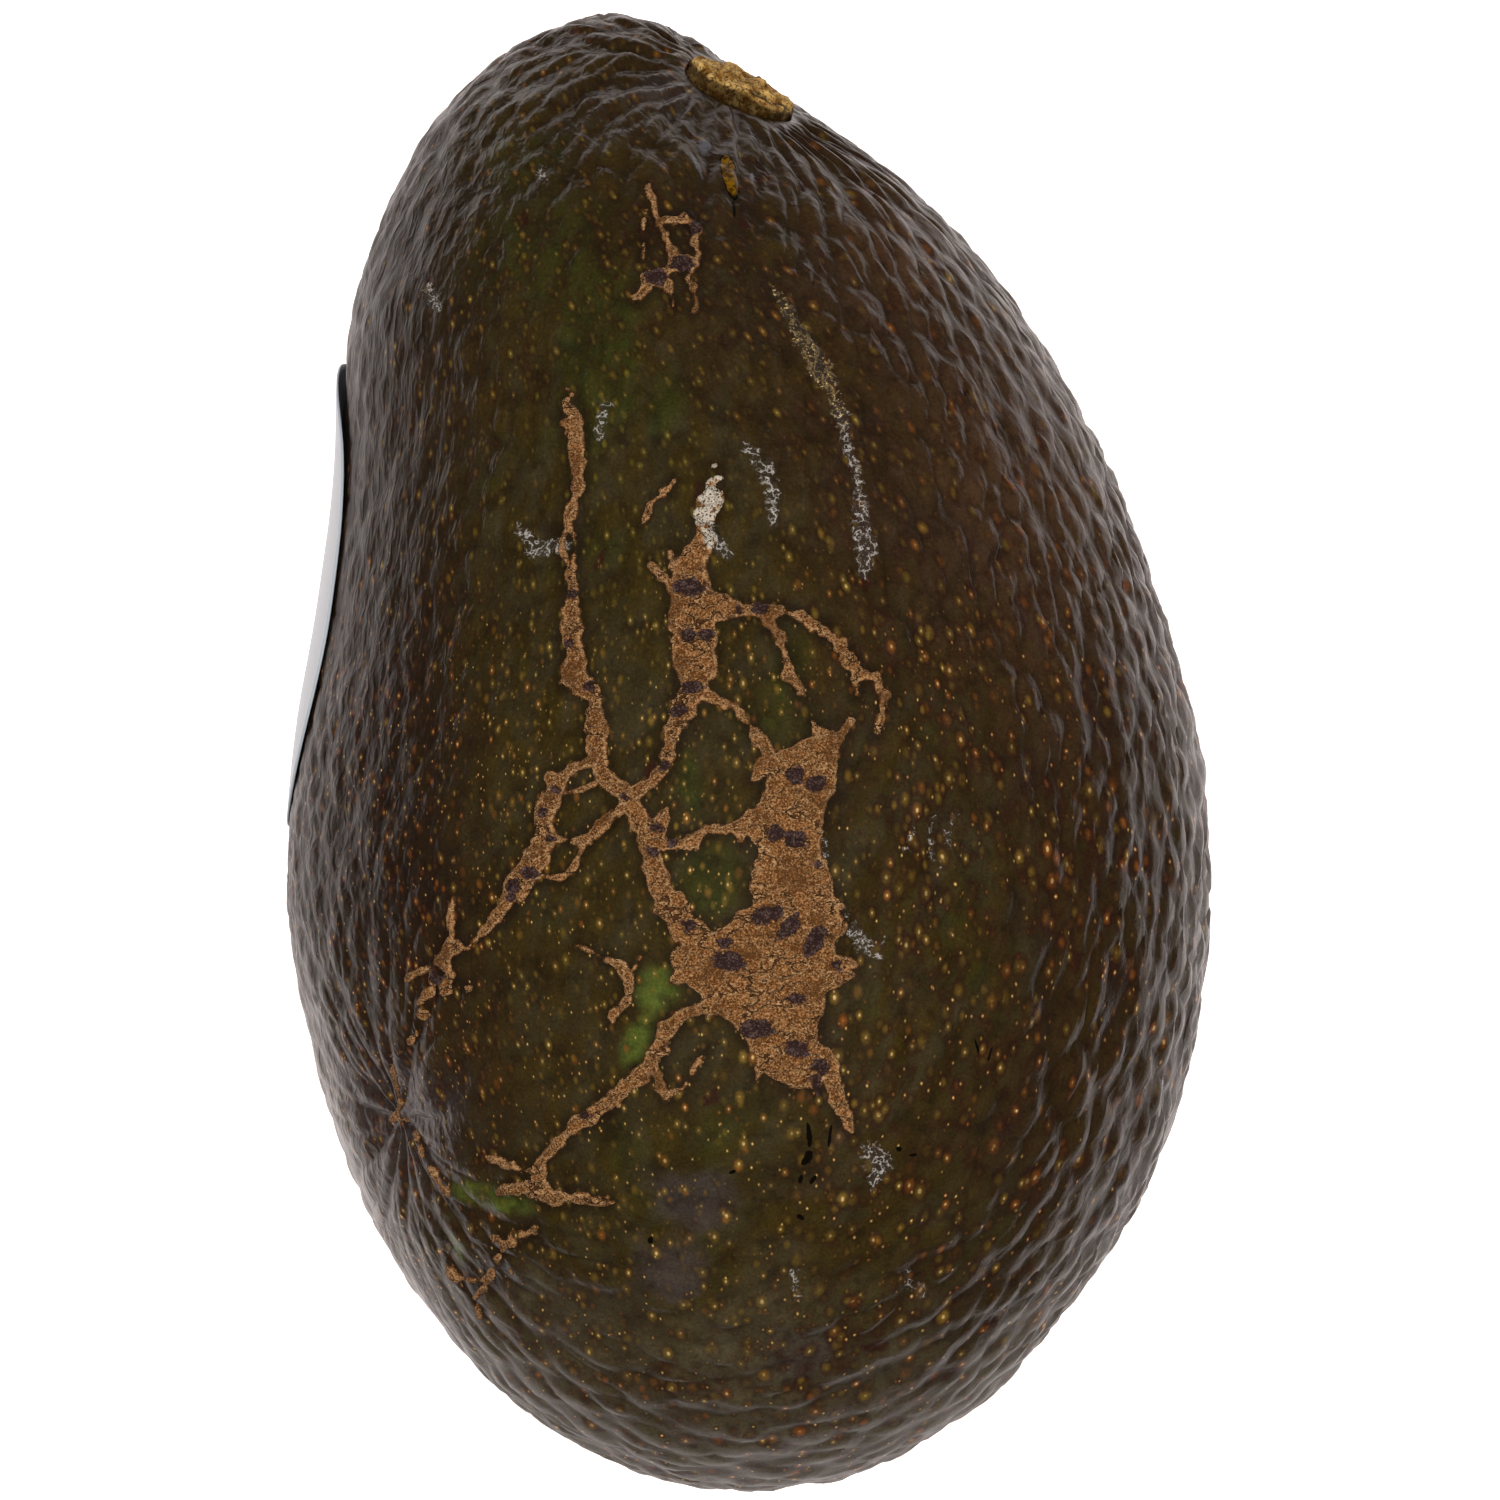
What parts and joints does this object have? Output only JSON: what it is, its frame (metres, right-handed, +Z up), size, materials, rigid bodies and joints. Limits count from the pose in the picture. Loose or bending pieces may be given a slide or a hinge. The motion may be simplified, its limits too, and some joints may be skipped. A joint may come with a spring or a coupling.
{
  "type": "avocado",
  "caption": "Whole ripe avocado lying on its side, with pebbly dark skin, a tan net of cork scars, a corky stem stub and a blank oval label.",
  "frame": {"origin": "middle of the fruit's box, on the plane that the fruit rests on", "axes": "+Y along the fruit from the blossom end to the stem end, +Z up from the resting spot, +X towards the flank opposite the label"},
  "size_m": [0.0664, 0.106, 0.063],
  "materials": {
    "skin": "dark olive to purple-brown pebbled fruit skin with a waxy sheen, dotted with pale lenticels and crossed by tan cork",
    "stem_cork": "dry, crumbly, corky stub of the stalk",
    "label_film": "thin white satin adhesive label, left blank"
  },
  "bodies": {
    "root": {"fruit": "skin", "stem_button": "stem_cork", "label": "label_film"}
  },
  "joints": []
}
